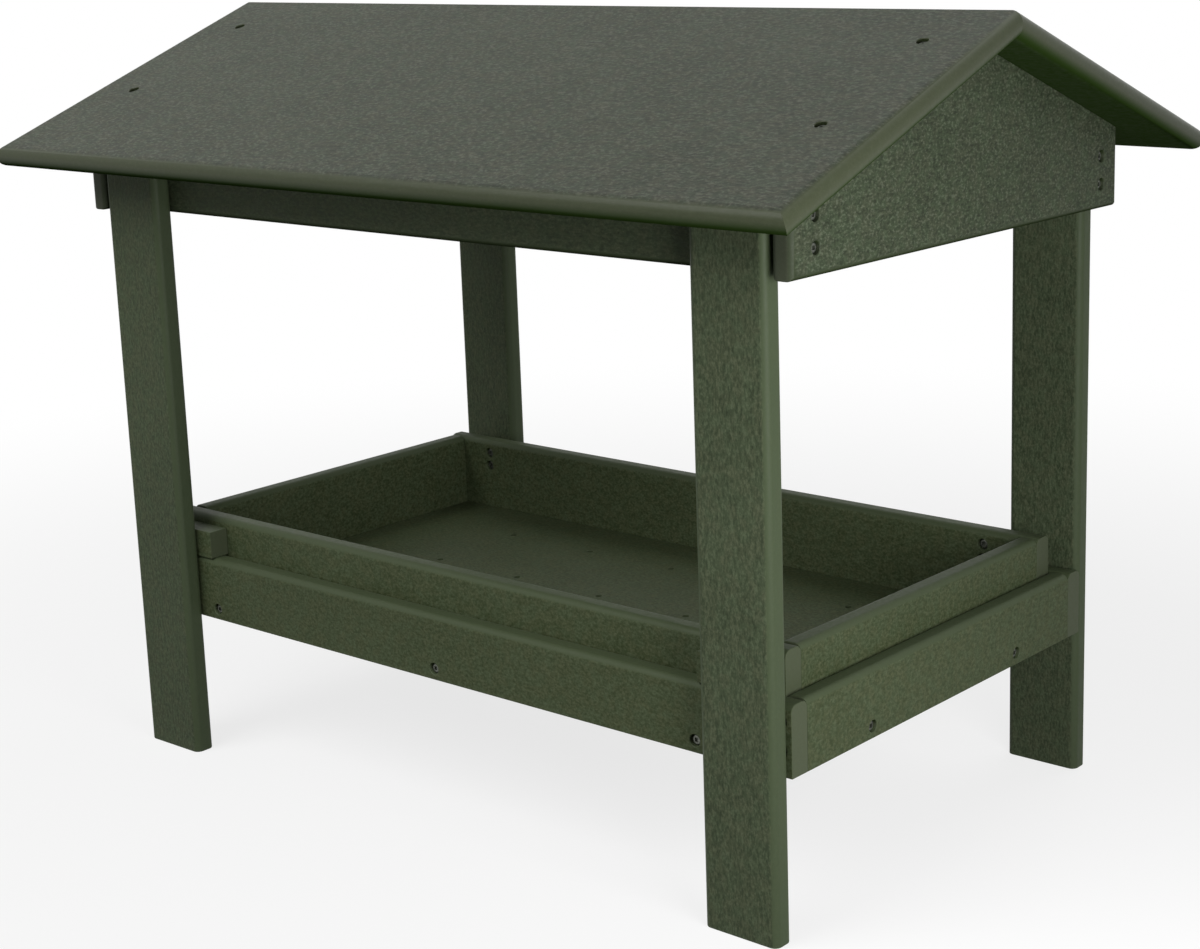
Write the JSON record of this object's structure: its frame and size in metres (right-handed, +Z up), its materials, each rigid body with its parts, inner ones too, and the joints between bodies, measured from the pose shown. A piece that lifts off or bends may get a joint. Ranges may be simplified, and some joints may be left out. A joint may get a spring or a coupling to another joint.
{
  "type": "covered ground bird feeder",
  "caption": "Covered ground bird feeder: a gabled roof on flat legs over a framed, drained seed tray that is open on all sides",
  "frame": {"origin": "on the ground, midway between the four legs", "axes": "+X along the ridge, +Y from front to rear, +Z up"},
  "size_m": [0.723, 0.4802, 0.5551],
  "materials": {
    "green_board": "mottled dark green recycled-plastic board with a dull grain",
    "roof_board": "the same board, greyer and with a soft sheen",
    "steel": "dull stainless screws"
  },
  "bodies": {
    "root": {"leg_front_left": "green_board", "leg_front_right": "green_board", "leg_rear_left": "green_board", "leg_rear_right": "green_board", "skirt_rail_front": "green_board", "skirt_rail_rear": "green_board", "skirt_rail_left": "green_board", "skirt_rail_right": "green_board", "tray_board_front": "green_board", "tray_board_rear": "green_board", "tray_board_left": "green_board", "tray_board_right": "green_board", "tray_floor": "green_board", "tray_spacer_front_left": "green_board", "tray_spacer_front_right": "green_board", "tray_spacer_rear_left": "green_board", "tray_spacer_rear_right": "green_board", "top_rail_front": "green_board", "top_rail_rear": "green_board", "gable_left": "green_board", "gable_right": "green_board", "roof_panel_front": "roof_board", "roof_panel_rear": "roof_board", "roof_screws": "steel", "gable_screws": "steel", "leg_top_screws": "steel", "leg_tray_screws": "steel", "skirt_corner_screws": "steel", "skirt_floor_screws": "steel", "tray_spacer_screws": "steel", "tray_joint_screws": "steel", "tray_rise_screws": "steel"}
  },
  "joints": []
}
